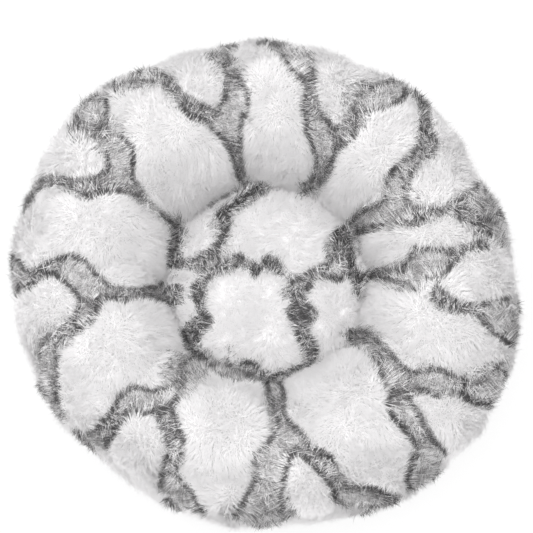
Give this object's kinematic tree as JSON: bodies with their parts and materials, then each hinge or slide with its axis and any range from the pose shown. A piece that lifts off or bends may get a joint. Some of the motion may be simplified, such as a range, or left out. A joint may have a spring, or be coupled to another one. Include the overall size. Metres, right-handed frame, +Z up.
{
  "type": "round pet bed",
  "caption": "Round stuffed pet bed: long-pile fur ring round a sunken seat, washable cover with a zip low on the back, non-slip base.",
  "frame": {"origin": "centre of the underside, on the floor the bed stands on", "axes": "+Z up through the middle of the sleeping well, -Y the front that the picture is taken from, +X to its right"},
  "size_m": [0.4941, 0.4849, 0.174],
  "materials": {
    "rim_fur": "long-pile faux fur, white with grey tie-dye veins",
    "seat_fur": "long-pile faux fur, white with grey tie-dye veins",
    "liner_cloth": "thin white non-woven",
    "fibre_filling": "white polyester fibre",
    "base_cloth": "dark grey woven Oxford with small rubber dots",
    "sewing_thread": "polyester thread",
    "zip_tape": "woven herringbone tape",
    "zip_coil": "nylon coil",
    "zip_metal": "satin nickel"
  },
  "bodies": {
    "bed": {"rim_cover": "rim_fur", "seat_cover": "seat_fur", "rim_liner": "liner_cloth", "seat_liner": "liner_cloth", "rim_filling": "fibre_filling", "seat_filling": "fibre_filling", "base_panel": "base_cloth", "well_seam": "sewing_thread", "base_seam": "sewing_thread", "zip_tape_rim": "zip_tape", "zip_tape_base": "zip_tape", "zip_coil_rim": "zip_coil", "zip_coil_base": "zip_coil", "zip_stop_closed": "zip_metal", "zip_stop_open": "zip_metal"},
    "slider": {"zip_slider": "zip_metal"},
    "pull": {"zip_pull": "zip_metal"}
  },
  "joints": [
    {"name": "zip_run", "type": "hinge", "parent": "bed", "child": "slider", "pos_m": [0, 0, 0.016], "axis": [0, 0, 1], "range_deg": [0, 100.5]},
    {"name": "pull_swing", "type": "hinge", "parent": "slider", "child": "pull", "pos_m": [0.172, 0.14281, 0.016], "axis": [0, 0, -1], "range_deg": [0, 170]}
  ]
}
